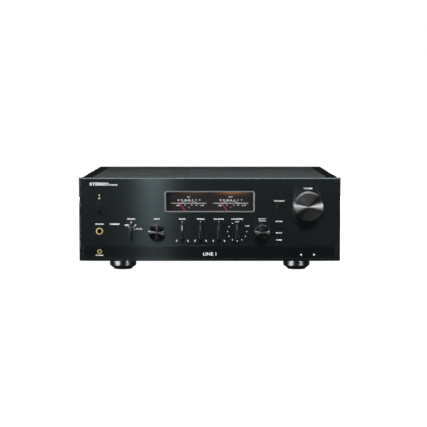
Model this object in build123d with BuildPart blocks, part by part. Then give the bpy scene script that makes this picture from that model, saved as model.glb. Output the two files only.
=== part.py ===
from build123d import *
import os
from math import sin, cos, radians

os.makedirs("parts", exist_ok=True)

# ---------------------------------------------------------------- driving dimensions, mm
# +Z up, +X to the right as seen from the front, the front faces -Y, feet stand on z = 0
PANEL_W = 435.0          # front panel width
PANEL_Z0 = 18.0          # front panel bottom edge
PANEL_Z1 = 157.0         # front panel top edge, overall height
PANEL_T = 10.0           # front panel thickness
OVERALL_D = 473.0        # overall depth, knobs and terminals included
KNOB_REACH = 28.0        # volume knob stands this far in front of the panel
TERM_REACH = 18.0        # speaker terminals stand this far behind the rear panel
YF = -OVERALL_D / 2 + KNOB_REACH     # front face of the front panel
YB = YF + PANEL_T                    # back face of the front panel
YR = OVERALL_D / 2 - TERM_REACH      # outer face of the rear panel
SUB_T = 1.5              # sub-frame sheet
SHEET = 1.5              # chassis sheet
SIDE_T = 20.0            # side panel thickness
SIDE_X = 215.5           # outer face of the side panels
IN_X = SIDE_X - SIDE_T   # inner face of the side panels
CH_Z0 = 18.5             # chassis underside
CH_Z1 = CH_Z0 + SHEET    # chassis floor
COVER_Z0 = 155.2
COVER_Z1 = 156.7
FOOT_X = 147.5
FOOT_YF = YF + 50.0
FOOT_YR = YR - 60.0
FOOT_R = 22.5
SHAFT_R = 3.0
RUN = 0.05               # running clearance on shafts

VOL = (163.3, 110.3)
INP = (-87.7, 67.5)
SEL = (87.7, 67.5)
SPK = (-130.8, 67.5)
LEVERS = (("bass_knob", -45.75), ("treble_knob", -15.25),
          ("balance_knob", 15.25), ("loudness_knob", 45.75), ("speakers_knob", SPK[0]))
ROT_Z = 67.5
PWR = (-183.5, 110.5)
LED = (-183.5, 127.8)
PHONES = (-183.5, 68.1)
MIC = (-183.5, 33.9)
DIM = (-157.7, 68.3)
DIRECT = (116.0, 109.8)
RETURN = (115.6, 76.2)
MODE = (115.6, 59.6)
HOME = (115.6, 47.0)
MET_X = 74.7             # meter frame half width
MET_Z0, MET_Z1 = 99.8, 135.0
MET_C = 35.0             # meter centres at x = +/- this
PIV_Z = 93.4             # needle pivot height
NEEDLE_L = 30.0
NEEDLE_REST = 36.0       # degrees left of upright at rest
DSP_X = 210.0
DSP_Z0, DSP_Z1 = 23.5, 43.0
TERM_X = (-140.0, -110.0, -80.0, -50.0)
TERM_Z = (62.0, 96.0)
ANT = (150.0, 142.0)
MAINS = (165.0, 52.0)
RCA_X = (10.0, 30.0, 50.0, 70.0, 90.0)
RCA_Z = (62.0, 82.0)


def front(x, z, y=0.0):
    """Plane facing the viewer: local x = X, local y = Z, normal = -Y; y is depth behind the panel face."""
    return Plane(origin=(x, YF + y, z), x_dir=(1, 0, 0), z_dir=(0, -1, 0))


def rear(x, z, y=YR):
    """Plane facing backwards at absolute depth y: local x = -X, local y = Z."""
    return Plane(origin=(x, y, z), x_dir=(-1, 0, 0), z_dir=(0, 1, 0))


def turned(x, z, y=YF):
    """Half-profile plane for turned pieces: local x = radius along X, local y = +Y."""
    return Plane(origin=(x, y, z), x_dir=(1, 0, 0), z_dir=(0, 0, 1))


def along(x, z):
    return Axis((x, 0, z), (0, 1, 0))


def save(part, label):
    part.label = label
    export_step(part, "parts/" + label + ".step")


# ================================================================ shell
with BuildPart() as front_panel:
    with BuildSketch(front(0, (PANEL_Z0 + PANEL_Z1) / 2, PANEL_T)) as s:
        Rectangle(PANEL_W, PANEL_Z1 - PANEL_Z0)
    extrude(amount=PANEL_T)
    chamfer(front_panel.faces().sort_by(Axis.Y)[0].outer_wire().edges(), 1.8)
    # meter window, cut right through
    with BuildSketch(front(0, (MET_Z0 + MET_Z1) / 2, PANEL_T)):
        RectangleRounded(2 * MET_X, MET_Z1 - MET_Z0, 3.0)
    extrude(amount=PANEL_T, mode=Mode.SUBTRACT)
    # pockets in the back of the panel for the needle pivots
    with BuildSketch(front(0, 94.0, PANEL_T)):
        with Locations((-MET_C, 0), (MET_C, 0)):
            Rectangle(30, 14)
    extrude(amount=6.4, mode=Mode.SUBTRACT)
    # recess of the display window and the opening behind it
    with BuildSketch(front(0, (DSP_Z0 + DSP_Z1) / 2, 2.5)):
        RectangleRounded(2 * DSP_X, DSP_Z1 - DSP_Z0, 1.0)
    extrude(amount=2.5, mode=Mode.SUBTRACT)
    with BuildSketch(front(0, (DSP_Z0 + DSP_Z1) / 2, PANEL_T)):
        Rectangle(140, 16.5)
    extrude(amount=PANEL_T, mode=Mode.SUBTRACT)
    # shafts of the large knobs
    with BuildSketch(front(0, 0, PANEL_T)):
        with Locations(VOL, INP, SEL):
            Circle(5.0)
        with Locations(*[(x, ROT_Z) for n, x in LEVERS]):
            Circle(SHAFT_R + 0.35)
        with Locations(PHONES):
            Circle(5.0)
        with Locations(MIC):
            Circle(3.0)
        with Locations(LED):
            Circle(1.2)
        with Locations(DIM):
            Circle(2.8)
        with Locations(RETURN):
            RectangleRounded(5.7, 6.7, 0.9)
        with Locations(MODE, HOME):
            RectangleRounded(5.7, 5.3, 0.9)
        with Locations(DIRECT):
            RectangleRounded(8.5, 9.5, 1.2)
        with Locations(PWR):
            RectangleRounded(7.2, 10.6, 1.0)
    extrude(amount=PANEL_T, mode=Mode.SUBTRACT)
save(front_panel.part, "front_panel")

with BuildPart() as front_subframe:
    with BuildSketch(front(0, 87.6, PANEL_T + SUB_T)):
        Rectangle(2 * IN_X - 0.2, 135.0)
    extrude(amount=SUB_T)
    # side flanges folded backwards
    with BuildSketch(front(0, 87.6, PANEL_T + SUB_T + 16)):
        with Locations((-(IN_X - 0.1 - SHEET / 2), 0), (IN_X - 0.1 - SHEET / 2, 0)):
            Rectangle(SHEET, 110.0)
    extrude(amount=16 + SUB_T / 2)
    with BuildSketch(front(0, 0, PANEL_T + SUB_T)):
        with Locations((0, 118.4)):
            Rectangle(2 * 60, 26)
        with Locations((-MET_C, PIV_Z), (MET_C, PIV_Z)):
            Circle(3.0)
        with Locations((0, (DSP_Z0 + DSP_Z1) / 2)):
            Rectangle(140, 16.5)
        with Locations(VOL, INP, SEL, *[(x, ROT_Z) for n, x in LEVERS]):
            Circle(4.5)
        with Locations(PHONES):
            Circle(5.0)
        with Locations(MIC):
            Circle(3.0)
        with Locations(LED):
            Circle(1.2)
        with Locations(DIM, RETURN, MODE, HOME):
            Circle(5.2)
        with Locations(DIRECT):
            Rectangle(14, 14)
        with Locations(PWR):
            Rectangle(7.2, 12.0)
    extrude(amount=SUB_T, mode=Mode.SUBTRACT)
save(front_subframe.part, "front_subframe")

with BuildPart() as top_cover:
    with BuildSketch(Plane.XY.offset(COVER_Z0)):
        with Locations((0, (YB + YR) / 2)):
            Rectangle(2 * IN_X, YR - YB)
    extrude(amount=COVER_Z1 - COVER_Z0)
    # rear flange behind the rear panel
    with BuildSketch(Plane.XY.offset(143.0)):
        with Locations((0, YR - 1.5 - 0.75)):
            Rectangle(2 * IN_X - 6, 1.5)
    extrude(amount=COVER_Z0 - 143.0)
    # cooling slots: three banks over the heat sink and the transformer
    with BuildSketch(Plane.XY.offset(COVER_Z0)):
        for cx in (-110.0, 0.0, 110.0):
            with Locations((cx, 20.0)):
                with GridLocations(1, 9.0, 1, 20):
                    SlotOverall(78.0, 2.6)
    extrude(amount=COVER_Z1 - COVER_Z0, mode=Mode.SUBTRACT)
    # flange holes of the cover screws
    with BuildSketch(rear(0, 150.0, YR - 3.0)):
        with Locations((-180, 0), (-90, 0), (0, 0), (90, 0), (180, 0)):
            Circle(1.5)
    extrude(amount=3.0, mode=Mode.SUBTRACT)
save(top_cover.part, "top_cover")

for label, sx in (("side_panel_left", -1), ("side_panel_right", 1)):
    with BuildPart() as side_panel:
        with BuildSketch(Plane.XY.offset(CH_Z0)):
            with Locations((sx * (IN_X + SIDE_T / 2), (YB + YR) / 2)):
                Rectangle(SIDE_T, YR - YB)
        extrude(amount=COVER_Z1 - CH_Z0)
        outer = side_panel.faces().sort_by(Axis.X)[-1 if sx > 0 else 0].edges()
        fillet(outer.filter_by(Axis.Y), 1.6)
        fillet(side_panel.faces().sort_by(Axis.Y)[-1].edges().filter_by(Axis.Z), 1.2)
    save(side_panel.part, label)

with BuildPart() as bottom_chassis:
    with BuildSketch(Plane.XY.offset(CH_Z0)):
        with Locations((0, (YB + YR) / 2)):
            Rectangle(2 * IN_X, YR - YB)
    extrude(amount=SHEET)
    # floor vents either side of the centre line
    with BuildSketch(Plane.XY.offset(CH_Z0)):
        for cx in (-60.0, 60.0):
            with Locations((cx, 30.0)):
                with GridLocations(1, 10.0, 1, 10):
                    SlotOverall(60.0, 3.4)
        with Locations((-FOOT_X, FOOT_YF), (FOOT_X, FOOT_YF), (-FOOT_X, FOOT_YR), (FOOT_X, FOOT_YR)):
            Circle(2.0)
    extrude(amount=SHEET, mode=Mode.SUBTRACT)
    # side walls
    with BuildSketch(Plane.XY.offset(CH_Z1)):
        with Locations((-(IN_X - 0.1 - SHEET / 2), 15.0), (IN_X - 0.1 - SHEET / 2, 15.0)):
            Rectangle(SHEET, 370.0)
    extrude(amount=40.0)
save(bottom_chassis.part, "bottom_chassis")

with BuildPart() as rear_panel:
    with BuildSketch(rear(0, (CH_Z1 + COVER_Z0) / 2, YR - SHEET)):
        Rectangle(2 * IN_X, COVER_Z0 - CH_Z1)
    extrude(amount=SHEET)
    with BuildSketch(rear(0, 0, YR - SHEET)):
        with Locations(*[(-x, z) for x in TERM_X for z in TERM_Z]):
            Circle(5.0)
        with Locations(*[(-x, z) for x in RCA_X for z in RCA_Z]):
            Circle(4.15)
        with Locations((-20.0, 118.0)):
            Rectangle(16.0, 14.0)
        with Locations((-45.0, 118.0)):
            Rectangle(15.0, 7.4)
        with Locations((-68.0, 118.0), (-86.0, 118.0)):
            Rectangle(10.0, 10.0)
        with Locations((-ANT[0], ANT[1])):
            Circle(4.3)
        with Locations((-MAINS[0], MAINS[1])):
            Rectangle(24.0, 17.0)
        with Locations((-180, 150), (-90, 150), (0, 150), (90, 150), (180, 150)):
            Circle(1.5)
    extrude(amount=SHEET, mode=Mode.SUBTRACT)
save(rear_panel.part, "rear_panel")

with BuildPart() as cover_screws:
    # pan heads on the rear panel, shanks through the cover flange
    with BuildSketch(rear(0, 150.0, YR)):
        with Locations((-180, 0), (-90, 0), (0, 0), (90, 0), (180, 0)):
            Circle(3.2)
    extrude(amount=2.0)
    fillet(cover_screws.faces().group_by(Axis.Y)[-1].edges(), 0.8)
    with BuildSketch(rear(0, 150.0, YR - 6.0)):
        with Locations((-180, 0), (-90, 0), (0, 0), (90, 0), (180, 0)):
            Circle(1.5)
    extrude(amount=6.0)
    # cross recess
    with BuildSketch(rear(0, 150.0, YR + 0.9)):
        with Locations((-180, 0), (-90, 0), (0, 0), (90, 0), (180, 0)):
            Rectangle(3.4, 0.8)
            Rectangle(0.8, 3.4)
    extrude(amount=1.2, mode=Mode.SUBTRACT)
save(cover_screws.part, "cover_screws")

FEET = [(-FOOT_X, FOOT_YF), (FOOT_X, FOOT_YF), (-FOOT_X, FOOT_YR), (FOOT_X, FOOT_YR)]
with BuildPart() as feet:
    for fx, fy in FEET:
        with BuildSketch(Plane(origin=(fx, fy, 0), x_dir=(1, 0, 0), z_dir=(0, -1, 0))):
            with BuildLine():
                Polyline((6.5, 2.0), (16.5, 2.0), (FOOT_R - 0.3, 6.4), (FOOT_R, 7.0),
                         (FOOT_R, CH_Z0 - 0.8), (FOOT_R - 0.8, CH_Z0), (2.0, CH_Z0),
                         (2.0, 12.0), (6.5, 12.0), (6.5, 2.0))
            make_face()
        revolve(axis=Axis((fx, fy, 0), (0, 0, 1)))
save(feet.part, "feet")

with BuildPart() as foot_pads:
    with BuildSketch(Plane.XY):
        with Locations(*FEET):
            Circle(15.5)
            Circle(7.5, mode=Mode.SUBTRACT)
    extrude(amount=2.0)
    fillet(foot_pads.faces().group_by(Axis.Z)[0].edges(), 0.5)
save(foot_pads.part, "foot_pads")

with BuildPart() as foot_screws:
    with BuildSketch(Plane.XY.offset(9.0)):
        with Locations(*FEET):
            Circle(4.0)
    extrude(amount=3.0)
    with BuildSketch(Plane.XY.offset(12.0)):
        with Locations(*FEET):
            Circle(2.0)
    extrude(amount=12.0)
    with BuildSketch(Plane.XY.offset(9.0)):
        with Locations(*FEET):
            RegularPolygon(1.6, 6)
    extrude(amount=1.8, mode=Mode.SUBTRACT)
save(foot_screws.part, "foot_screws")

# ================================================================ knobs
with BuildPart() as volume_knob:
    with BuildSketch(turned(*VOL)):
        with BuildLine():
            Polyline((SHAFT_R, -3.0), (7.5, -3.0), (7.5, -19.0), (21.5, -19.0), (21.5, -1.0),
                     (24.5, -1.0), (24.5, -2.0), (24.1, -26.4), (23.1, -KNOB_REACH),
                     (22.0, -KNOB_REACH))
            Line((22.0, -KNOB_REACH), (0.0, -KNOB_REACH + 0.9))
            Polyline((0.0, -KNOB_REACH + 0.9), (0.0, -19.0), (SHAFT_R, -19.0), (SHAFT_R, -3.0))
        make_face()
    revolve(axis=along(*VOL))
save(volume_knob.part, "volume_knob")

with BuildPart() as volume_shaft:
    with BuildSketch(front(VOL[0], VOL[1], 23.0)):
        Circle(SHAFT_R)
    extrude(amount=23.0 + 19.0)
save(volume_shaft.part, "volume_shaft")

with BuildPart() as input_knob:
    with BuildSketch(turned(*INP)):
        with BuildLine():
            Polyline((SHAFT_R, -2.5), (5.5, -2.5), (5.5, -14.0), (11.2, -14.0), (11.2, -1.0),
                     (13.5, -1.0), (13.5, -2.0), (13.25, -20.1), (12.35, -21.0), (11.5, -21.0))
            Line((11.5, -21.0), (0.0, -20.5))
            Polyline((0.0, -20.5), (0.0, -14.0), (SHAFT_R, -14.0), (SHAFT_R, -2.5))
        make_face()
    revolve(axis=along(*INP))
save(input_knob.part, "input_knob")

with BuildPart() as input_shaft:
    with BuildSketch(front(INP[0], INP[1], 20.0)):
        Circle(SHAFT_R)
    extrude(amount=20.0 + 14.0)
save(input_shaft.part, "input_shaft")

with BuildPart() as select_knob:
    with BuildSketch(turned(*SEL)):
        with BuildLine():
            Polyline((SHAFT_R + RUN, -3.0), (5.5, -3.0), (5.5, -14.0), (10.6, -14.0), (10.6, -1.8),
                     (12.8, -1.8), (12.8, -2.8), (12.55, -20.2), (11.7, -21.0), (10.9, -21.0))
            Line((10.9, -21.0), (0.0, -20.5))
            Polyline((0.0, -20.5), (0.0, -14.0), (SHAFT_R + RUN, -14.0), (SHAFT_R + RUN, -3.0))
        make_face()
    revolve(axis=along(*SEL))
save(select_knob.part, "select_knob")

with BuildPart() as select_shaft:
    with BuildSketch(front(SEL[0], SEL[1], 19.0)):
        Circle(SHAFT_R)
    extrude(amount=19.0 + 13.95)
save(select_shaft.part, "select_shaft")

# slim bar knobs, each moulded with its spindle
for label, kx in LEVERS:
    with BuildPart() as lever:
        with BuildSketch(front(kx, ROT_Z, -1.0)):
            SlotOverall(27.0, 6.4, rotation=90)
        extrude(amount=13.5, taper=4.5)
        fillet(lever.faces().sort_by(Axis.Y)[0].edges(), 0.9)
        with BuildSketch(front(kx, ROT_Z, 19.5)):
            Circle(SHAFT_R)
        extrude(amount=21.0)
    save(lever.part, label)

# ================================================================ controls behind the panel
with BuildPart() as rotary_controls:
    with BuildSketch(front(0, 0, PANEL_T + SUB_T + 16.0)):
        with Locations(VOL):
            RectangleRounded(26, 26, 2)
    extrude(amount=16.0)
    with BuildSketch(front(0, 0, PANEL_T + SUB_T + 10.5)):
        with Locations(INP, SEL, *[(x, ROT_Z) for n, x in LEVERS]):
            RectangleRounded(17, 17, 2)
    extrude(amount=10.5)
    with BuildSketch(front(0, 0, PANEL_T + SUB_T)):
        with Locations(VOL, INP, SEL, *[(x, ROT_Z) for n, x in LEVERS]):
            Circle(4.5)
    extrude(amount=SUB_T)
    # bores the shafts run in
    with BuildSketch(front(0, 0, 25.0)):
        with Locations(VOL):
            Circle(SHAFT_R + RUN)
    extrude(amount=15.0, mode=Mode.SUBTRACT)
    with BuildSketch(front(0, 0, 20.8)):
        with Locations(INP, SEL, *[(x, ROT_Z) for n, x in LEVERS]):
            Circle(SHAFT_R + RUN)
    extrude(amount=10.8, mode=Mode.SUBTRACT)
save(rotary_controls.part, "rotary_controls")

# power lever: a paddle on a cross pin, at rest tilted down
PIV_Y = 15.0
TILT = 5.0
lever_plane = Plane(origin=(PWR[0] - 3.2, YF + PIV_Y, PWR[1]),
                    x_dir=(0, -cos(radians(TILT)), -sin(radians(TILT))), z_dir=(-1, 0, 0))
with BuildPart() as power_lever:
    with BuildSketch(lever_plane):
        with BuildLine():
            Polyline((0, -3.0), (16.3, -3.0), (16.3, -7.0), (24.0, -6.4), (24.6, -5.6),
                     (24.6, 5.6), (24.0, 6.4), (16.3, 7.0), (16.3, 3.0), (0, 3.0), (0, -3.0))
        make_face()
        Circle(3.0)
        Circle(1.25, mode=Mode.SUBTRACT)
    extrude(amount=-6.4)
    fillet(power_lever.faces().sort_by(Axis.Y)[0].edges().filter_by(Axis.Z, reverse=True), 0.5)
save(power_lever.part, "power_lever")

with BuildPart() as power_switch:
    with BuildSketch(front(PWR[0], PWR[1], PANEL_T + SUB_T + 22.0)):
        RectangleRounded(16, 24, 1.5)
    extrude(amount=22.0)
    with BuildSketch(front(PWR[0], PWR[1], PANEL_T + SUB_T + 9.0)):
        Rectangle(7.2, 16.0)
    extrude(amount=9.0, mode=Mode.SUBTRACT)
    # cross pin
    with BuildSketch(Plane.YZ.offset(PWR[0] - 4.5)):
        with Locations((YF + PIV_Y, PWR[1])):
            Circle(1.2)
    extrude(amount=9.0)
save(power_switch.part, "power_switch")

# push buttons, flanged behind the panel so they cannot fall out
with BuildPart() as dimmer_button:
    with BuildSketch(front(DIM[0], DIM[1], 11.0)):
        Circle(2.5)
    extrude(amount=12.6)
    fillet(dimmer_button.faces().sort_by(Axis.Y)[0].edges(), 0.45)
    with BuildSketch(front(DIM[0], DIM[1], 11.4)):
        Circle(3.9)
    extrude(amount=1.0)
save(dimmer_button.part, "dimmer_button")

for label, at, bh in (("return_button", RETURN, 6.0), ("mode_button", MODE, 4.6), ("home_button", HOME, 4.6)):
    with BuildPart() as button:
        with BuildSketch(front(at[0], at[1], 11.0)):
            RectangleRounded(5.0, bh, 0.6)
        extrude(amount=12.6)
        fillet(button.faces().sort_by(Axis.Y)[0].edges(), 0.4)
        with BuildSketch(front(at[0], at[1], 11.4)):
            RectangleRounded(6.8, bh + 1.6, 0.6)
        extrude(amount=1.0)
    save(button.part, label)

with BuildPart() as direct_button:
    with BuildSketch(front(DIRECT[0], DIRECT[1], 11.0)):
        RectangleRounded(7.8, 8.8, 0.8)
    extrude(amount=13.2)
    fillet(direct_button.faces().sort_by(Axis.Y)[0].edges(), 0.5)
    with BuildSketch(front(DIRECT[0], DIRECT[1], 11.4)):
        RectangleRounded(10.4, 11.4, 0.9)
    extrude(amount=1.0)
save(direct_button.part, "direct_button")

with BuildPart() as switch_board:
    # strip board by the three right-hand buttons, and a small one by the dimmer
    with BuildSketch(front(116.0, 80.0, 16.6)):
        Rectangle(20, 84)
    with BuildSketch(front(DIM[0], DIM[1], 16.6)):
        Rectangle(15, 24)
    extrude(amount=1.6)
    # spacers to the sub-frame
    with BuildSketch(front(0, 0, 15.0)):
        with Locations((108.5, 119.0), (123.5, 119.0), (108.5, 40.5), (123.5, 40.5),
                       (DIM[0], DIM[1] + 9.5), (DIM[0], DIM[1] - 9.5)):
            Circle(2.0)
    extrude(amount=3.5)
    # switch bodies and plungers
    with BuildSketch(front(0, 0, 15.0)):
        with Locations(DIM, RETURN, MODE, HOME, DIRECT):
            Rectangle(6, 6)
    extrude(amount=1.5)
    with BuildSketch(front(0, 0, 13.5)):
        with Locations(DIM, RETURN, MODE, HOME, DIRECT):
            Circle(1.5)
    extrude(amount=0.7)
save(switch_board.part, "switch_board")

# ================================================================ front sockets and lens
with BuildPart() as phones_jack:
    with BuildSketch(front(PHONES[0], PHONES[1], 0.0)):
        Circle(6.0)
    extrude(amount=0.9)
    chamfer(phones_jack.faces().sort_by(Axis.Y)[0].edges(), 0.35)
    with BuildSketch(front(PHONES[0], PHONES[1], PANEL_T + SUB_T)):
        Circle(5.0)
    extrude(amount=PANEL_T + SUB_T)
    with BuildSketch(front(PHONES[0], PHONES[1], PANEL_T + SUB_T + 25.0)):
        RectangleRounded(15, 16, 1.0)
    extrude(amount=25.0)
    with BuildSketch(front(PHONES[0], PHONES[1], 31.1)):
        Circle(3.2)
    extrude(amount=32.0, mode=Mode.SUBTRACT)
save(phones_jack.part, "phones_jack")

with BuildPart() as mic_jack:
    with BuildSketch(front(MIC[0], MIC[1], 0.2)):
        Circle(3.85)
    extrude(amount=0.9)
    chamfer(mic_jack.faces().sort_by(Axis.Y)[0].edges(), 0.3)
    with BuildSketch(front(MIC[0], MIC[1], PANEL_T + SUB_T)):
        Circle(3.0)
    extrude(amount=PANEL_T + SUB_T - 0.2)
    with BuildSketch(front(MIC[0], MIC[1], PANEL_T + SUB_T + 8.0)):
        Rectangle(10, 9)
    extrude(amount=8.0)
    with BuildSketch(front(MIC[0], MIC[1], 15.3)):
        Circle(1.8)
    extrude(amount=16.0, mode=Mode.SUBTRACT)
save(mic_jack.part, "mic_jack")

with BuildPart() as power_lens:
    with BuildSketch(front(LED[0], LED[1], 14.0)):
        Circle(1.2)
    extrude(amount=14.4)
    fillet(power_lens.faces().sort_by(Axis.Y)[0].edges(), 0.35)
    with BuildSketch(front(LED[0], LED[1], 16.0)):
        Circle(2.4)
    extrude(amount=4.5)
save(power_lens.part, "power_lens")

# ================================================================ meters
MET_CZ = (MET_Z0 + MET_Z1) / 2
MET_H = MET_Z1 - MET_Z0
with BuildPart() as meter_bezel:
    with BuildSketch(front(0, MET_CZ, 4.0)):
        RectangleRounded(2 * MET_X, MET_H, 3.0)
        RectangleRounded(2 * MET_X - 4.0, MET_H - 4.0, 1.6, mode=Mode.SUBTRACT)
    extrude(amount=5.0)
    chamfer(meter_bezel.faces().sort_by(Axis.Y)[0].inner_wires()[0].edges(), 0.6)
save(meter_bezel.part, "meter_bezel")

with BuildPart() as meter_glass:
    with BuildSketch(front(0, MET_CZ, 2.8)):
        RectangleRounded(2 * MET_X - 4.0, MET_H - 4.0, 1.6)
    extrude(amount=1.8)
save(meter_glass.part, "meter_glass")

with BuildPart() as meter_scales:
    with BuildSketch(front(0, MET_CZ, PANEL_T)):
        RectangleRounded(2 * MET_X, MET_H, 3.0)
    extrude(amount=0.8)
save(meter_scales.part, "meter_scales")

with BuildPart() as meter_movements:
    with BuildSketch(front(0, PIV_Z + 6.0, 32.0)):
        with Locations((-MET_C, 0), (MET_C, 0)):
            RectangleRounded(34, 26, 2.5)
    extrude(amount=32.0 - PANEL_T - SUB_T)
    with BuildSketch(front(0, PIV_Z, 14.0)):
        with Locations((-MET_C, 0), (MET_C, 0)):
            Circle(1.0)
    extrude(amount=9.4)
save(meter_movements.part, "meter_movements")

for label, mx in (("needle_left", -MET_C), ("needle_right", MET_C)):
    a = radians(NEEDLE_REST)
    np_ = Plane(origin=(mx, YF + 6.2, PIV_Z), x_dir=(cos(a), 0, sin(a)), z_dir=(0, -1, 0))
    with BuildPart() as needle:
        with BuildSketch(np_):
            with BuildLine():
                Polyline((-0.45, 0), (-0.22, NEEDLE_L), (0.22, NEEDLE_L), (0.45, 0), (-0.45, 0))
            make_face()
            with Locations((0, -2.8)):
                Rectangle(1.3, 3.0)
            Circle(2.1)
            Circle(1.05, mode=Mode.SUBTRACT)
        extrude(amount=0.6)
    save(needle.part, label)

# ================================================================ display strip
with BuildPart() as display_window:
    with BuildSketch(front(0, (DSP_Z0 + DSP_Z1) / 2, 2.5)):
        RectangleRounded(2 * DSP_X, DSP_Z1 - DSP_Z0, 1.0)
        with Locations((MIC[0], MIC[1] - (DSP_Z0 + DSP_Z1) / 2)):
            Circle(3.0, mode=Mode.SUBTRACT)
    extrude(amount=2.3)
save(display_window.part, "display_window")

with BuildPart() as display_module:
    with BuildSketch(front(0, (DSP_Z0 + DSP_Z1) / 2, PANEL_T + SUB_T)):
        Rectangle(140.0, 15.0)
    extrude(amount=PANEL_T + SUB_T - 2.5)
    with BuildSketch(front(0, (DSP_Z0 + DSP_Z1) / 2 + 0.5, PANEL_T + SUB_T + 1.6)):
        Rectangle(156.0, 24.0)
    extrude(amount=1.6)
save(display_module.part, "display_module")

# ================================================================ rear
with BuildPart() as speaker_terminal_base:
    # moulded plate
    with BuildSketch(rear(-95.0, 79.0, YR)):
        RectangleRounded(128.0, 68.0, 2.0)
        with Locations(*[(-95.0 - x, z - 79.0) for x in TERM_X for z in TERM_Z]):
            Circle(5.05, mode=Mode.SUBTRACT)
    extrude(amount=2.5)
    # eight posts held in the rear panel, each with a collar and a hollow stud
    with BuildSketch(rear(0, 0, YR - 8.0)):
        with Locations(*[(-x, z) for x in TERM_X for z in TERM_Z]):
            Circle(5.0)
    extrude(amount=10.55)
    with BuildSketch(rear(0, 0, YR + 2.55)):
        with Locations(*[(-x, z) for x in TERM_X for z in TERM_Z]):
            Circle(6.4)
    extrude(amount=1.55)
    with BuildSketch(rear(0, 0, YR + 4.1)):
        with Locations(*[(-x, z) for x in TERM_X for z in TERM_Z]):
            Circle(3.0)
    extrude(amount=11.0)
    with BuildSketch(rear(0, 0, YR - 3.0)):
        with Locations(*[(-x, z) for x in TERM_X for z in TERM_Z]):
            Circle(2.02)
    extrude(amount=20.0, mode=Mode.SUBTRACT)
save(speaker_terminal_base.part, "speaker_terminal_base")

n = 0
for tz in TERM_Z:
    for tx in TERM_X:
        n += 1
        with BuildPart() as cap:
            with BuildSketch(rear(tx, tz, YR + 4.6)):
                Circle(6.3)
            extrude(amount=TERM_REACH - 4.6)
            chamfer(cap.faces().sort_by(Axis.Y)[-1].edges(), 0.8)
            # grip flutes
            with BuildSketch(rear(tx, tz, YR + 7.0)):
                with PolarLocations(6.5, 12):
                    Circle(0.75)
            extrude(amount=TERM_REACH, mode=Mode.SUBTRACT)
            with BuildSketch(rear(tx, tz, YR + 4.6)):
                Circle(3.06)
            extrude(amount=11.0, mode=Mode.SUBTRACT)
            with BuildSketch(rear(tx, tz, YR + 15.0)):
                Circle(2.3)
            extrude(amount=4.0, mode=Mode.SUBTRACT)
        save(cap.part, "terminal_cap_%d" % n)

with BuildPart() as phono_sockets:
    with BuildSketch(rear(50.0, 72.0, YR)):
        RectangleRounded(98.0, 42.0, 1.5)
        with Locations(*[(50.0 - x, z - 72.0) for x in RCA_X for z in RCA_Z]):
            Circle(4.2, mode=Mode.SUBTRACT)
    extrude(amount=1.2)
    with BuildSketch(rear(0, 0, YR - 6.0)):
        with Locations(*[(-x, z) for x in RCA_X for z in RCA_Z]):
            Circle(4.15)
    extrude(amount=15.5)
    with BuildSketch(rear(0, 0, YR - 1.0)):
        with Locations(*[(-x, z) for x in RCA_X for z in RCA_Z]):
            Circle(1.6)
    extrude(amount=11.0, mode=Mode.SUBTRACT)
save(phono_sockets.part, "phono_sockets")

with BuildPart() as digital_sockets:
    # network socket shell
    with BuildSketch(rear(0, 0, YR - 14.0)):
        with Locations((-20.0, 118.0)):
            Rectangle(16.0, 14.0)
    extrude(amount=15.0)
    with BuildSketch(rear(0, 0, YR - 11.0)):
        with Locations((-20.0, 118.0)):
            Rectangle(12.0, 8.2)
    extrude(amount=13.0, mode=Mode.SUBTRACT)
    # flat data socket with a tongue
    with BuildSketch(rear(0, 0, YR - 14.0)):
        with Locations((-45.0, 118.0)):
            Rectangle(15.0, 7.4)
            Rectangle(12.6, 5.2, mode=Mode.SUBTRACT)
    extrude(amount=15.0)
    with BuildSketch(rear(0, 0, YR - 14.0)):
        with Locations((-45.0, 118.0)):
            Rectangle(12.6, 5.2)
    extrude(amount=3.0)
    with BuildSketch(rear(0, 0, YR - 11.5)):
        with Locations((-45.0, 118.0)):
            Rectangle(11.0, 1.8)
    extrude(amount=11.0)
    # shuttered optical sockets
    with BuildSketch(rear(0, 0, YR - 10.0)):
        with Locations((-68.0, 118.0), (-86.0, 118.0)):
            Rectangle(10.0, 10.0)
    extrude(amount=11.0)
    with BuildSketch(rear(0, 0, YR + 0.4)):
        with Locations((-68.0, 118.0), (-86.0, 118.0)):
            Rectangle(6.4, 6.4)
            Rectangle(5.8, 5.8, mode=Mode.SUBTRACT)
    extrude(amount=1.0, mode=Mode.SUBTRACT)
    # antenna collar
    with BuildSketch(rear(ANT[0], ANT[1], YR)):
        Circle(6.5)
        Circle(4.3, mode=Mode.SUBTRACT)
    extrude(amount=2.5)
save(digital_sockets.part, "digital_sockets")

with BuildPart() as mains_inlet:
    with BuildSketch(rear(MAINS[0], MAINS[1], YR)):
        RectangleRounded(30.0, 22.0, 2.0)
    extrude(amount=1.8)
    with BuildSketch(rear(MAINS[0], MAINS[1], YR - 18.0)):
        Rectangle(24.0, 17.0)
    extrude(amount=18.0)
    with BuildSketch(rear(MAINS[0], MAINS[1], YR - 13.0)):
        SlotOverall(18.0, 9.6)
    extrude(amount=15.0, mode=Mode.SUBTRACT)
    with BuildSketch(rear(MAINS[0], MAINS[1], YR - 14.0)):
        with Locations((-4.3, 0), (4.3, 0)):
            Circle(1.1)
    extrude(amount=12.0)
save(mains_inlet.part, "mains_inlet")

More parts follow.
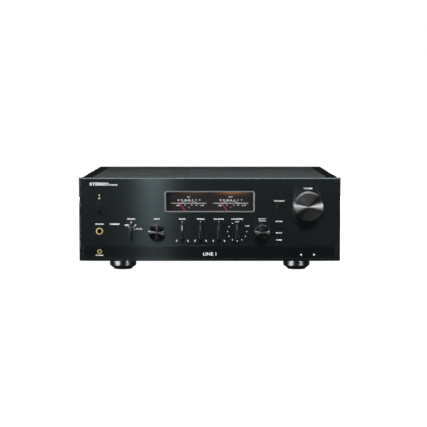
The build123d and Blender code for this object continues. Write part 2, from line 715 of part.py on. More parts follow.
# antenna: a swivelling base with a fork, and a whip that folds on a cross pin
ANT_Y = YR + 11.5
with BuildPart() as antenna_base:
    with BuildSketch(rear(ANT[0], ANT[1], YR - 1.0)):
        Circle(4.2)
    extrude(amount=8.2)
    with BuildSketch(rear(ANT[0], ANT[1], YR + 3.0)):
        Circle(5.6)
    extrude(amount=4.2)
    with BuildSketch(rear(ANT[0], ANT[1], YR + 7.2)):
        with Locations((0, 3.0), (0, -3.0)):
            Rectangle(7.0, 2.0)
    extrude(amount=7.8)
    with BuildSketch(Plane.XY.offset(ANT[1] - 3.0)):
        with Locations((ANT[0], ANT_Y)):
            Circle(1.2)
    extrude(amount=6.0)
save(antenna_base.part, "antenna_base")

with BuildPart() as antenna_whip:
    with BuildSketch(Plane.XY.offset(ANT[1] - 1.6)):
        with Locations((ANT[0], ANT_Y)):
            Circle(3.0)
        with Locations((ANT[0] - 4.0, ANT_Y)):
            Rectangle(8.0, 5.0)
        with Locations((ANT[0], ANT_Y)):
            Circle(1.25, mode=Mode.SUBTRACT)
    extrude(amount=3.2)
    with BuildSketch(Plane(origin=(ANT[0] - 5.5, ANT_Y, ANT[1]), x_dir=(0, 1, 0), z_dir=(-1, 0, 0))):
        Circle(3.6)
    extrude(amount=92.0, taper=0.45)
    fillet(antenna_whip.faces().sort_by(Axis.X)[0].edges(), 1.4)
save(antenna_whip.part, "antenna_whip")

# ================================================================ inside
with BuildPart() as mains_transformer:
    with BuildSketch(Plane.XY.offset(CH_Z1)):
        with Locations((-115.0, -95.0)):
            Circle(62.0)
    extrude(amount=4.0)
    with BuildSketch(Plane(origin=(-115.0, -95.0, 0), x_dir=(1, 0, 0), z_dir=(0, -1, 0))):
        with BuildLine():
            Polyline((18, CH_Z1 + 4), (56, CH_Z1 + 4), (60, CH_Z1 + 10), (60, CH_Z1 + 62),
                     (56, CH_Z1 + 68), (18, CH_Z1 + 68), (18, CH_Z1 + 4))
        make_face()
    revolve(axis=Axis((-115.0, -95.0, 0), (0, 0, 1)))
save(mains_transformer.part, "mains_transformer")

with BuildPart() as main_board:
    with BuildSketch(Plane.XY.offset(32.0)):
        with Locations((5.0, 95.0)):
            Rectangle(370.0, 200.0)
    extrude(amount=1.6)
    with BuildSketch(Plane.XY.offset(CH_Z1)):
        with Locations((-170, 5), (178, 5), (-170, 185), (178, 185), (0, 5), (0, 185)):
            Circle(3.5)
    extrude(amount=12.0)
save(main_board.part, "main_board")

with BuildPart() as heat_sink:
    with BuildSketch(Plane.XY.offset(33.6)):
        with Locations((5.0, 60.0)):
            Rectangle(240.0, 7.0)
        with Locations((5.0, 60.0 + 3.5 + 17.0)):
            with GridLocations(11.4, 1, 21, 1):
                Rectangle(2.2, 34.5)
    extrude(amount=92.0)
save(heat_sink.part, "heat_sink")

with BuildPart() as capacitors:
    with BuildSketch(Plane.XY.offset(33.6)):
        with Locations((60.0, 28.0), (102.0, 28.0)):
            Circle(17.5)
    extrude(amount=62.0)
    fillet(capacitors.faces().group_by(Axis.Z)[-1].edges(), 2.0)
save(capacitors.part, "capacitors")
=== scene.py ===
import math

import bpy
from mathutils import Matrix, Vector


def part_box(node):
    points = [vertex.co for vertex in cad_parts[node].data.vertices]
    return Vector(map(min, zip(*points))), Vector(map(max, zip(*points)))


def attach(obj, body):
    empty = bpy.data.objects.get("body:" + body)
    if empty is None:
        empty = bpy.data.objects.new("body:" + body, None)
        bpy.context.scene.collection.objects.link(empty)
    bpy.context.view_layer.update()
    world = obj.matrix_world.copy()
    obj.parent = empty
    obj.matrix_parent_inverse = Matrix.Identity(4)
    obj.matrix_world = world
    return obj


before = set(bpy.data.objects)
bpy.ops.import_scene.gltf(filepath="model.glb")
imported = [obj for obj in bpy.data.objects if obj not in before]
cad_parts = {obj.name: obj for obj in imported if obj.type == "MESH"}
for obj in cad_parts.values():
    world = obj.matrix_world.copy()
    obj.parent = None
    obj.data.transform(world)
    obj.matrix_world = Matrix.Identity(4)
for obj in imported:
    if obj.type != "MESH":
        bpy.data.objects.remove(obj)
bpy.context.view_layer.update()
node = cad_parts

MM = 0.001
YF = -0.2085          # front face of the front panel
YR = 0.2185           # outer face of the rear panel


# ------------------------------------------------------------------ materials
def srgb(r, g, b):
    def f(c):
        c /= 255.0
        return c / 12.92 if c <= 0.04045 else ((c + 0.055) / 1.055) ** 2.4
    return (f(r), f(g), f(b), 1.0)


def material(name, base, metallic=0.0, rough=0.4, rough_var=0.08, grain=(400, 400, 400), bump=0.05,
             tint=0.12, wear=None, wear_amount=0.6, edge=0.0005, spec=0.5, coat=0.0, coat_rough=0.08,
             aniso=0.0, aniso_rot=0.0, radial=None, emission=None, strength=0.0, ior=1.5, alpha=1.0,
             transmission=0.0, speckle=0.0, spec_tint=None):
    m = bpy.data.materials.new(name)
    m.use_nodes = True
    nt = m.node_tree
    N, L = nt.nodes, nt.links
    N.clear()
    out = N.new("ShaderNodeOutputMaterial")
    bsdf = N.new("ShaderNodeBsdfPrincipled")
    L.new(bsdf.outputs["BSDF"], out.inputs["Surface"])
    bsdf.inputs["Metallic"].default_value = metallic
    bsdf.inputs["Specular IOR Level"].default_value = spec
    bsdf.inputs["IOR"].default_value = ior
    if spec_tint:
        bsdf.inputs["Specular Tint"].default_value = spec_tint
    bsdf.inputs["Coat Weight"].default_value = coat
    bsdf.inputs["Coat Roughness"].default_value = coat_rough
    bsdf.inputs["Anisotropic"].default_value = aniso
    bsdf.inputs["Anisotropic Rotation"].default_value = aniso_rot
    bsdf.inputs["Alpha"].default_value = alpha
    bsdf.inputs["Transmission Weight"].default_value = transmission
    if emission:
        bsdf.inputs["Emission Color"].default_value = emission
        bsdf.inputs["Emission Strength"].default_value = strength
    co = N.new("ShaderNodeTexCoord")
    mp = N.new("ShaderNodeMapping")
    mp.inputs["Scale"].default_value = grain
    L.new(co.outputs["Object"], mp.inputs["Vector"])
    fine = N.new("ShaderNodeTexNoise")
    fine.inputs["Scale"].default_value = 1.0
    fine.inputs["Detail"].default_value = 4.0
    fine.inputs["Roughness"].default_value = 0.6
    L.new(mp.outputs["Vector"], fine.inputs["Vector"])
    broad = N.new("ShaderNodeTexNoise")
    broad.inputs["Scale"].default_value = 14.0
    broad.inputs["Detail"].default_value = 3.0
    L.new(co.outputs["Object"], broad.inputs["Vector"])
    # roughness: fine grain plus slow variation
    both = N.new("ShaderNodeMath")
    both.operation = "MULTIPLY_ADD"
    L.new(broad.outputs["Fac"], both.inputs[0])
    both.inputs[1].default_value = 0.6
    half = N.new("ShaderNodeMath")
    half.operation = "MULTIPLY"
    half.inputs[1].default_value = 0.4
    L.new(fine.outputs["Fac"], half.inputs[0])
    L.new(half.outputs[0], both.inputs[2])
    rr = N.new("ShaderNodeMapRange")
    rr.inputs["From Min"].default_value = 0.3
    rr.inputs["From Max"].default_value = 0.7
    rr.inputs["To Min"].default_value = max(0.02, rough - rough_var)
    rr.inputs["To Max"].default_value = rough + rough_var
    L.new(both.outputs[0], rr.inputs["Value"])
    L.new(rr.outputs["Result"], bsdf.inputs["Roughness"])
    # colour: small variation with the grain
    dark = N.new("ShaderNodeMix")
    dark.data_type = "RGBA"
    dark.inputs["A"].default_value = (base[0] * (1 - tint), base[1] * (1 - tint), base[2] * (1 - tint), 1)
    dark.inputs["B"].default_value = (min(1, base[0] * (1 + tint)), min(1, base[1] * (1 + tint)), min(1, base[2] * (1 + tint)), 1)
    L.new(both.outputs[0], dark.inputs["Factor"])
    colour = dark.outputs["Result"]
    if speckle > 0:
        sp = N.new("ShaderNodeTexNoise")
        sp.inputs["Scale"].default_value = 900.0
        sp.inputs["Detail"].default_value = 2.0
        L.new(co.outputs["Object"], sp.inputs["Vector"])
        sr = N.new("ShaderNodeMapRange")
        sr.inputs["From Min"].default_value = 0.62
        sr.inputs["From Max"].default_value = 0.72
        sr.inputs["To Max"].default_value = speckle
        L.new(sp.outputs["Fac"], sr.inputs["Value"])
        sm = N.new("ShaderNodeMix")
        sm.data_type = "RGBA"
        L.new(sr.outputs["Result"], sm.inputs["Factor"])
        L.new(colour, sm.inputs["A"])
        sm.inputs["B"].default_value = (min(1, base[0] * 4 + .02),) * 3 + (1,)
        colour = sm.outputs["Result"]
    bev = None
    if wear is not None:
        bev = N.new("ShaderNodeBevel")
        bev.samples = 4
        bev.inputs["Radius"].default_value = edge
        geo = N.new("ShaderNodeNewGeometry")
        dot = N.new("ShaderNodeVectorMath")
        dot.operation = "DOT_PRODUCT"
        L.new(bev.outputs["Normal"], dot.inputs[0])
        L.new(geo.outputs["Normal"], dot.inputs[1])
        er = N.new("ShaderNodeMapRange")
        er.inputs["From Min"].default_value = 0.995
        er.inputs["From Max"].default_value = 0.90
        er.inputs["To Min"].default_value = 0.0
        er.inputs["To Max"].default_value = wear_amount
        L.new(dot.outputs["Value"], er.inputs["Value"])
        wn = N.new("ShaderNodeMath")
        wn.operation = "MULTIPLY"
        L.new(er.outputs["Result"], wn.inputs[0])
        L.new(broad.outputs["Fac"], wn.inputs[1])
        mx = N.new("ShaderNodeMix")
        mx.data_type = "RGBA"
        L.new(wn.outputs[0], mx.inputs["Factor"])
        L.new(colour, mx.inputs["A"])
        mx.inputs["B"].default_value = wear
        colour = mx.outputs["Result"]
    L.new(colour, bsdf.inputs["Base Color"])
    bp = N.new("ShaderNodeBump")
    bp.inputs["Strength"].default_value = bump
    bp.inputs["Distance"].default_value = 0.0002
    L.new(fine.outputs["Fac"], bp.inputs["Height"])
    if bev is not None:
        L.new(bev.outputs["Normal"], bp.inputs["Normal"])
    L.new(bp.outputs["Normal"], bsdf.inputs["Normal"])
    if radial:
        tg = N.new("ShaderNodeTangent")
        tg.direction_type = "RADIAL"
        tg.axis = radial
        L.new(tg.outputs["Tangent"], bsdf.inputs["Tangent"])
    return m


M = {}
M["panel"] = material("panel_hairline", (0.005, 0.006, 0.007), rough=0.23, rough_var=0.006,
                      grain=(30, 2600, 5200), bump=0.012, tint=0.12, wear=(0.11, 0.12, 0.125, 1), wear_amount=0.5,
                      edge=0.0006, spec=1.0, ior=1.8, spec_tint=(0.78, 0.97, 1.0, 1), aniso=1.0, aniso_rot=0.25, radial="Z")
M["side"] = material("side_gloss", (0.004, 0.004, 0.0045), rough=0.12, rough_var=0.03, grain=(60, 60, 60), bump=0.02,
                     wear=(0.03, 0.03, 0.035, 1), edge=0.0008, spec=0.35)
M["cover"] = material("cover_paint", (0.044, 0.055, 0.055), rough=0.5, rough_var=0.07, grain=(1500, 1500, 1500), bump=0.3,
                      wear=(0.1, 0.1, 0.1, 1), speckle=0.25)
M["rear"] = material("rear_paint", (0.018, 0.018, 0.02), rough=0.5, rough_var=0.07, grain=(1500, 1500, 1500), bump=0.3,
                     wear=(0.1, 0.1, 0.1, 1), speckle=0.2)
M["zinc"] = material("zinc_sheet", (0.5, 0.51, 0.53), metallic=1.0, rough=0.42, rough_var=0.1, grain=(120, 120, 120),
                     bump=0.1, wear=(0.7, 0.7, 0.7, 1))
M["knob"] = material("knob_spun", (0.27, 0.275, 0.285), metallic=1.0, rough=0.3, rough_var=0.02,
                     grain=(160, 160, 160), bump=0.01, wear=(0.75, 0.76, 0.78, 1), wear_amount=1.0, edge=0.00035,
                     aniso=1.0, aniso_rot=0.25, radial="Y")
M["bar"] = material("bar_knob", (0.02, 0.021, 0.023), metallic=0.6, rough=0.33, rough_var=0.06, grain=(900, 900, 60),
                    bump=0.12, wear=(0.2, 0.205, 0.21, 1), wear_amount=0.8, edge=0.0005, spec=0.5)
M["button"] = material("button_satin", (0.045, 0.047, 0.05), metallic=0.85, rough=0.34, rough_var=0.05, grain=(900, 900, 300),
                       bump=0.1, wear=(0.32, 0.33, 0.34, 1), wear_amount=0.8, edge=0.0005)
M["steel"] = material("turned_steel", (0.52, 0.52, 0.54), metallic=1.0, rough=0.25, rough_var=0.08, grain=(200, 2600, 200),
                      bump=0.1, wear=(0.8, 0.8, 0.8, 1))
M["chrome"] = material("foot_chrome", (0.36, 0.365, 0.375), metallic=1.0, rough=0.2, rough_var=0.012, grain=(60, 60, 900),
                       bump=0.008, tint=0.05, wear=(0.95, 0.95, 0.95, 1), edge=0.0006)
M["rubber"] = material("pad_rubber", (0.008, 0.008, 0.0085), rough=0.75, rough_var=0.1, grain=(700, 700, 700), bump=0.35,
                       wear=(0.09, 0.09, 0.09, 1))
M["plastic"] = material("black_plastic", (0.022, 0.022, 0.024), rough=0.5, rough_var=0.08, grain=(1100, 1100, 1100),
                        bump=0.22, wear=(0.1, 0.1, 0.1, 1))
M["gold"] = material("gold_plate", (1.0, 0.76, 0.32), metallic=1.0, rough=0.48, rough_var=0.07, grain=(300, 300, 300),
                     bump=0.05, wear=(0.95, 0.8, 0.5, 1))
M["bezel"] = material("bezel_silver", (0.52, 0.53, 0.55), metallic=1.0, rough=0.46, rough_var=0.06, grain=(30, 900, 900),
                      bump=0.08, wear=(0.95, 0.95, 0.95, 1))
M["glass"] = material("meter_glass", (0.02, 0.02, 0.022), rough=0.12, rough_var=0.02, grain=(40, 40, 40), bump=0.0, spec=0.3,
                      tint=0.1, wear=(0.1, 0.1, 0.1, 1), wear_amount=0.1, alpha=0.12)
# needle red plus a painted glow that the needles emit themselves
M["needle"] = material("needle_red", srgb(232, 78, 120), rough=0.4, rough_var=0.08, grain=(900, 900, 900), bump=0.05,
                       wear=srgb(255, 150, 180), emission=srgb(240, 70, 120), strength=0.75)
M["window"] = material("smoked_window", (0.002, 0.0024, 0.003), rough=0.225, rough_var=0.006, grain=(60, 60, 60), bump=0.01,
                       wear=(0.05, 0.05, 0.06, 1), spec=0.7, ior=1.8, spec_tint=(0.85, 0.95, 1.0, 1), aniso=1.0, aniso_rot=0.25, radial="Z")
# dim grey for the pointer marks: a weaker painted highlight than the bass pointer's white
M["pointer_highlight_dim"] = material("pointer_grey_painted_highlight", (0.22, 0.22, 0.23), rough=0.55, rough_var=0.08, grain=(900, 900, 900), bump=0.05,
                        tint=0.04, wear=(0.4, 0.4, 0.4, 1), wear_amount=0.1)
M["lens"] = material("power_lens", (0.55, 0.55, 0.25), rough=0.25, rough_var=0.05, grain=(300, 300, 300), bump=0.05,
                     wear=(1, 1, 0.9, 1), emission=(0.8, 0.82, 0.3, 1), strength=0.45)
M["board"] = material("board_green", (0.02, 0.09, 0.045), rough=0.35, rough_var=0.1, grain=(250, 250, 250), bump=0.1,
                      tint=0.4, wear=(0.3, 0.35, 0.2, 1))
M["winding"] = material("winding_tape", (0.2, 0.07, 0.03), rough=0.45, rough_var=0.1, grain=(60, 60, 900), bump=0.35,
                        tint=0.35, wear=(0.3, 0.15, 0.08, 1))
M["can"] = material("can_sleeve", (0.012, 0.013, 0.03), rough=0.25, rough_var=0.06, grain=(100, 100, 100), bump=0.04,
                    wear=(0.2, 0.2, 0.25, 1))
M["fins"] = material("fin_black", (0.015, 0.015, 0.016), metallic=0.6, rough=0.4, rough_var=0.08, grain=(600, 600, 60),
                     bump=0.15, wear=(0.25, 0.25, 0.25, 1))
# white print plus a painted glow: the ink emits light of its own
M["ink"] = material("print_white_painted_glow", (0.86, 0.87, 0.88), rough=0.55, rough_var=0.08, grain=(900, 900, 900), bump=0.05,
                    tint=0.04, wear=(1, 1, 1, 1), wear_amount=0.1, emission=(1, 1, 1, 1), strength=0.5)
M["glow"] = material("display_glow", (0.8, 0.85, 0.9), rough=0.4, rough_var=0.05, grain=(900, 900, 900), bump=0.02,
                     tint=0.04, wear=(1, 1, 1, 1), wear_amount=0.1, emission=(0.95, 0.98, 1.0, 1), strength=0.7)
# meter scale print plus a painted glow that the ink emits itself
M["scaleink"] = material("scale_ink_painted_glow", (0.8, 0.8, 0.8), rough=0.5, rough_var=0.08, grain=(900, 900, 900), bump=0.02,
                         tint=0.04, wear=(1, 1, 1, 1), wear_amount=0.1, emission=(1, 0.97, 0.95, 1), strength=0.5)

# meter card: dark print with a painted warm lamp glow at the top above each scale; the card emits this light itself
card = material("meter_card_painted_lamp_glow", (0.022, 0.019, 0.019), rough=0.55, rough_var=0.06, grain=(500, 500, 500), bump=0.05,
                wear=(0.08, 0.06, 0.05, 1), emission=(1.0, 0.42, 0.12, 1), strength=1.0)
nt = card.node_tree
bs = next(n for n in nt.nodes if n.type == "BSDF_PRINCIPLED")
co = next(n for n in nt.nodes if n.type == "TEX_COORD")
sep = nt.nodes.new("ShaderNodeSeparateXYZ")
nt.links.new(co.outputs["Object"], sep.inputs[0])


def mth(op, a, b=None, c=None):
    n = nt.nodes.new("ShaderNodeMath")
    n.operation = op
    for i, v in enumerate((a, b, c)):
        if v is None:
            continue
        if isinstance(v, (int, float)):
            n.inputs[i].default_value = v
        else:
            nt.links.new(v, n.inputs[i])
    return n.outputs[0]


ax = mth("ABSOLUTE", sep.outputs["X"])
dx = mth("MULTIPLY", mth("SUBTRACT", ax, 0.035), 1 / 0.021)
dz = mth("MULTIPLY", mth("SUBTRACT", 0.1345, sep.outputs["Z"]), 1 / 0.0048)
d2 = mth("ADD", mth("MULTIPLY", dx, dx), mth("MULTIPLY", dz, dz))
g = mth("POWER", 2.718, mth("MULTIPLY", d2, -1.0))
# the painted glow grows towards +X, so the right card glows about four times as bright as the left
side = mth("MULTIPLY_ADD", sep.outputs["X"], 4.5, 0.26)
nt.links.new(mth("MULTIPLY", g, side), bs.inputs["Emission Strength"])
M["card"] = card



def jack(name, axis, r_ring):
    """Gold ring; inside the given radius from the socket's axis the colour is dark and not metallic."""
    m = M["gold"].copy()
    m.name = name
    t = m.node_tree
    b = next(n for n in t.nodes if n.type == "BSDF_PRINCIPLED")
    c = next(n for n in t.nodes if n.type == "TEX_COORD")
    sub = t.nodes.new("ShaderNodeVectorMath")
    sub.operation = "SUBTRACT"
    t.links.new(c.outputs["Object"], sub.inputs[0])
    sub.inputs[1].default_value = (axis[0] * MM, 0, axis[1] * MM)
    flat = t.nodes.new("ShaderNodeVectorMath")
    flat.operation = "MULTIPLY"
    t.links.new(sub.outputs[0], flat.inputs[0])
    flat.inputs[1].default_value = (1, 0, 1)
    ln = t.nodes.new("ShaderNodeVectorMath")
    ln.operation = "LENGTH"
    t.links.new(flat.outputs[0], ln.inputs[0])
    st = t.nodes.new("ShaderNodeMath")
    st.operation = "GREATER_THAN"
    t.links.new(ln.outputs["Value"], st.inputs[0])
    st.inputs[1].default_value = r_ring * MM
    mx = t.nodes.new("ShaderNodeMix")
    mx.data_type = "RGBA"
    t.links.new(st.outputs[0], mx.inputs["Factor"])
    mx.inputs["A"].default_value = (0.02, 0.018, 0.016, 1)
    src = b.inputs["Base Color"].links[0].from_socket
    t.links.new(src, mx.inputs["B"])
    t.links.new(mx.outputs["Result"], b.inputs["Base Color"])
    t.links.new(st.outputs[0], b.inputs["Metallic"])
    return m


def domed(name, axis, slope, colour, rough):
    """Spun knob metal whose face leans outward a little from the knob's axis."""
    m = material(name, colour, metallic=1.0, rough=rough, rough_var=0.015, grain=(160, 160, 160), bump=0.01,
                 wear=(0.75, 0.76, 0.78, 1), wear_amount=1.0, edge=0.00035, aniso=1.0, aniso_rot=0.25, radial="Y")
    t = m.node_tree
    c = next(n for n in t.nodes if n.type == "TEX_COORD")
    b = next(n for n in t.nodes if n.type == "BSDF_PRINCIPLED")
    old = next(n for n in t.nodes if n.type == "BUMP")
    sub = t.nodes.new("ShaderNodeVectorMath")
    sub.operation = "SUBTRACT"
    t.links.new(c.outputs["Object"], sub.inputs[0])
    sub.inputs[1].default_value = (axis[0] * MM, 0, axis[1] * MM)
    flat = t.nodes.new("ShaderNodeVectorMath")
    flat.operation = "MULTIPLY"
    t.links.new(sub.outputs[0], flat.inputs[0])
    flat.inputs[1].default_value = (1, 0, 1)
    ln = t.nodes.new("ShaderNodeVectorMath")
    ln.operation = "LENGTH"
    t.links.new(flat.outputs[0], ln.inputs[0])
    h = t.nodes.new("ShaderNodeMath")
    h.operation = "MULTIPLY"
    t.links.new(ln.outputs["Value"], h.inputs[0])
    h.inputs[1].default_value = -slope
    bp = t.nodes.new("ShaderNodeBump")
    bp.inputs["Strength"].default_value = 1.0
    bp.inputs["Distance"].default_value = 1.0
    t.links.new(h.outputs[0], bp.inputs["Height"])
    t.links.new(old.outputs["Normal"], bp.inputs["Normal"])
    t.links.new(bp.outputs["Normal"], b.inputs["Normal"])
    return m


def centre(n):
    a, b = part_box(n)
    return ((a[0] + b[0]) / 2 / MM, (a[2] + b[2]) / 2 / MM)


def behind(name, base, y_split, inner):
    """A finish that starts beyond a depth: the moulded plate in front of it keeps its own dark colour."""
    m = M[base].copy()
    m.name = name
    t = m.node_tree
    b = next(n for n in t.nodes if n.type == "BSDF_PRINCIPLED")
    c = next(n for n in t.nodes if n.type == "TEX_COORD")
    sp = t.nodes.new("ShaderNodeSeparateXYZ")
    t.links.new(c.outputs["Object"], sp.inputs[0])
    st = t.nodes.new("ShaderNodeMath")
    st.operation = "GREATER_THAN"
    t.links.new(sp.outputs["Y"], st.inputs[0])
    st.inputs[1].default_value = y_split
    mx = t.nodes.new("ShaderNodeMix")
    mx.data_type = "RGBA"
    t.links.new(st.outputs[0], mx.inputs["Factor"])
    mx.inputs["A"].default_value = inner
    t.links.new(b.inputs["Base Color"].links[0].from_socket, mx.inputs["B"])
    t.links.new(mx.outputs["Result"], b.inputs["Base Color"])
    t.links.new(st.outputs[0], b.inputs["Metallic"])
    return m


M["phono"] = behind("phono_gold", "gold", YR + 0.00125, (0.022, 0.022, 0.024, 1))
M["posts"] = behind("post_metal", "steel", YR + 0.00254, (0.022, 0.022, 0.024, 1))
M["knob_volume"] = domed("knob_volume", centre("volume_knob"), 0.13, (0.26, 0.265, 0.27), 0.3)
M["knob_input"] = domed("knob_input", centre("input_knob"), 0.11, (0.15, 0.153, 0.16), 0.25)
M["knob_select"] = domed("knob_select", centre("select_knob"), 0.11, (0.15, 0.153, 0.16), 0.25)
M["phones"] = jack("phones_ring", (-183.5, 68.1), 3.9)
M["mic"] = jack("mic_ring", (-183.5, 33.9), 2.4)

LOOK = {
    "front_panel": "panel", "front_subframe": "zinc", "top_cover": "cover", "side_panel_left": "side",
    "side_panel_right": "side", "bottom_chassis": "rear", "rear_panel": "rear", "cover_screws": "rear",
    "feet": "chrome", "foot_pads": "rubber", "foot_screws": "rear", "volume_knob": "knob_volume", "volume_shaft": "steel",
    "input_knob": "knob_input", "input_shaft": "steel", "select_knob": "knob_select", "select_shaft": "steel",
    "bass_knob": "bar", "treble_knob": "bar", "balance_knob": "bar", "loudness_knob": "bar", "speakers_knob": "bar",
    "rotary_controls": "plastic", "power_lever": "bar", "power_switch": "plastic", "dimmer_button": "button",
    "return_button": "button", "mode_button": "button", "home_button": "button", "direct_button": "button",
    "switch_board": "board", "phones_jack": "phones", "mic_jack": "mic", "power_lens": "lens", "meter_bezel": "bezel",
    "meter_glass": "glass", "meter_scales": "card", "meter_movements": "plastic", "needle_left": "needle",
    "needle_right": "needle", "display_window": "window", "display_module": "plastic",
    "speaker_terminal_base": "posts", "phono_sockets": "phono", "digital_sockets": "steel", "mains_inlet": "plastic",
    "antenna_base": "plastic", "antenna_whip": "plastic", "mains_transformer": "winding", "main_board": "board",
    "heat_sink": "fins", "capacitors": "can",
}
for n, o in node.items():
    look = LOOK.get(n, "plastic")
    o.data.materials.clear()
    o.data.materials.append(M[look])

# ------------------------------------------------------------------ print
pieces = {}


def text(body, x, z, cap, width=None, y=YF - 0.00004, angle=0.0, group="panel_print", bold=0.022):
    """Flat lettering on a plane facing the viewer; cap is the capital height and width an overall width, in mm."""
    cu = bpy.data.curves.new("t", "FONT")
    cu.body = body
    cu.align_x = "CENTER"
    cu.align_y = "CENTER"
    cu.size = 1.0
    cu.resolution_u = 3
    cu.offset = bold
    ob = bpy.data.objects.new("t", cu)
    bpy.context.scene.collection.objects.link(ob)
    bpy.context.view_layer.update()
    me = bpy.data.meshes.new_from_object(ob.evaluated_get(bpy.context.evaluated_depsgraph_get()))
    bpy.data.objects.remove(ob)
    xs = [v.co.x for v in me.vertices]
    ys = [v.co.y for v in me.vertices]
    w, h = max(xs) - min(xs), max(ys) - min(ys)
    cx, cy = (max(xs) + min(xs)) / 2, (max(ys) + min(ys)) / 2
    k = cap * MM / h
    kx = width * MM / w if width else k
    a = math.radians(angle)
    for v in me.vertices:
        u, t = (v.co.x - cx) * kx, (v.co.y - cy) * k
        u, t = u * math.cos(a) - t * math.sin(a), u * math.sin(a) + t * math.cos(a)
        v.co = (x * MM + u, y, z * MM + t)
    pieces.setdefault(group, []).append(me)


def shape(pts, y, group):
    me = bpy.data.meshes.new("s")
    me.from_pydata([(p[0] * MM, y, p[1] * MM) for p in pts], [], [list(range(len(pts)))])
    pieces.setdefault(group, []).append(me)


def disc(x, z, r, y=YF - 0.00004, group="panel_print", n=20):
    shape([(x + r * math.cos(2 * math.pi * i / n), z + r * math.sin(2 * math.pi * i / n)) for i in range(n)], y, group)


def stroke(x0, z0, x1, z1, w, y=YF - 0.00004, group="panel_print"):
    d = math.hypot(x1 - x0, z1 - z0)
    nx, nz = -(z1 - z0) / d * w / 2, (x1 - x0) / d * w / 2
    shape([(x0 - nx, z0 - nz), (x1 - nx, z1 - nz), (x1 + nx, z1 + nz), (x0 + nx, z0 + nz)], y, group)


def arc(x, z, r, a0, a1, w, y=YF - 0.00004, group="panel_print", n=40):
    """Arc band; angles in degrees clockwise from straight up."""
    P = lambda a, rr: (x + rr * math.sin(math.radians(a)), z + rr * math.cos(math.radians(a)))
    for i in range(n):
        b0, b1 = a0 + (a1 - a0) * i / n, a0 + (a1 - a0) * (i + 1) / n
        shape([P(b0, r - w / 2), P(b1, r - w / 2), P(b1, r + w / 2), P(b0, r + w / 2)], y, group)


def polar(x, z, r, a):
    return x + r * math.sin(math.radians(a)), z + r * math.cos(math.radians(a))


CAP = 2.3
text("STEREO", -183.8, 146.6, 4.9, 31.5)
text("RECEIVER", -159.9, 145.2, 2.1, 14.0)
# power mark: open ring and bar
arc(-183.5, 122.9, 1.25, 35, 325, 0.5)
stroke(-183.5, 122.9, -183.5, 124.6, 0.5)
text("PHONES", -183.4, 79.9, CAP, 13.4)
text("DIMMER", -157.8, 79.9, CAP, 16.6)
text("SPEAKERS", -130.6, 88.5, CAP, 13.2)
text("INPUT", -87.7, 88.4, CAP, 10.2)
text("BASS", -45.75, 88.4, CAP, 10.4)
text("TREBLE", -15.25, 88.4, CAP, 13.4)
text("BALANCE", 15.25, 88.4, CAP, 16.6)
text("LOUDNESS", 45.75, 88.4, CAP, 19.4)
text("SELECT", 87.7, 88.7, 1.9, 13.0, bold=0.0)
text("ENTER", 87.7, 85.3, 1.9, 11.0, bold=0.0)
text("TONE DIRECT", 115.6, 118.5, CAP, 18.0)
text("RETURN", 115.4, 84.4, 2.1, 11.0)
text("MODE", 115.4, 65.4, 2.1, 10.2)
text("HOME", 115.4, 53.4, 2.1, 9.4)
text("VOLUME", 163.3, 139.4, CAP, 14.4)
for x in (-45.75, -15.25, 15.25):
    disc(x, 83.7, 0.6)
    for s in (-1, 1):
        p, q = polar(x, 67.5, 16.4, s * 149), polar(x, 67.5, 19.8, s * 149)
        stroke(*p, *q, 1.1)
# loudness: FLAT at the top, a ring of dots, and the end value
text("FLAT", 45.75, 83.8, 2.0, 6.4)
for a in range(30, 300, 30):
    disc(*polar(45.75, 67.5, 15.9, -a), 0.8)
text("-30dB", 62.2, 76.8, 2.0, 7.6)
# speakers selector
for t, a in (("OFF", -30), ("A", 0), ("B", 30)):
    p, q = polar(-130.8, 67.5, 14.4, a * 0.62), polar(-130.8, 67.5, 12.0, a * 0.55)
    text(t, *{"OFF": (-138.2, 78.2), "A": (-130.8, 83.2), "B": (-123.4, 78.2)}[t], 2.6, 6.6 if t == "OFF" else None, bold=0.045)
    if a:
        stroke(-130.8 + (5.6 if a > 0 else -5.6), 77.6, -130.8 + (4.0 if a > 0 else -4.0), 74.0, 0.5)
text("A+B", -117.8, 72.0, 2.4, 10.6, bold=0.04)
stroke(-126.4, 70.6, -123.6, 71.8, 0.5)

# display strip
W_Y = YF + 0.00014
text("LINE 1", 0.0, 29.9, 5.2, 21.6, y=W_Y, group="display_text", bold=0.0)
disc(152.3, 28.8, 1.35, y=W_Y, group="display_text")
disc(173.9, 28.8, 1.35, y=W_Y, group="display_text")
text("SETUP MIC", -183.4, 27.7, 1.9, 13.0, y=W_Y, group="window_print")

# meter scales, one each side, on the card face
C_Y = YF + 0.0092 - 0.00005
for cx, ch in ((-35.0, "LEFT"), (35.0, "RIGHT")):
    stroke(cx - 29.4, 114.1, cx + 29.4, 114.1, 0.75, C_Y, "meter_print")
    arc(cx, 93.4, 24.4, -36, 36, 0.3, C_Y, "meter_print")
    for k in range(0, 21):
        a = -36 + 72 * k / 20
        r1 = 26.4 if k % 2 == 0 else 25.5
        stroke(*polar(cx, 93.4, 24.4, a), *polar(cx, 93.4, r1, a), 0.35, C_Y, "meter_print")
    for k, t in enumerate(("40", "30", "20", "10", "5", "3", "0")):
        a = -37 + 12.0 * k
        if a > 36:
            a = 36
        text(t, cx - 17.2 + 5.9 * k, 119.5, 2.6, None, C_Y, group="meter_print", bold=0.04)
    text("dB", cx - 18.0, 110.5, 2.3, 6.6, C_Y, group="meter_print")
    text("0 dB", cx + 22.0, 110.5, 2.2, 6.4, C_Y, group="meter_print")
    text("20", cx - 6.0, 110.8, 1.8, None, C_Y, group="meter_print")
    text("50", cx + 5.0, 110.8, 1.8, None, C_Y, group="meter_print")
    text("100", cx + 12.5, 110.8, 1.8, None, C_Y, group="meter_print")
    text("%", cx, 107.0, 1.8, None, C_Y, group="meter_print")
    text(ch, cx, 124.6, 1.9, None, C_Y, group="meter_print")

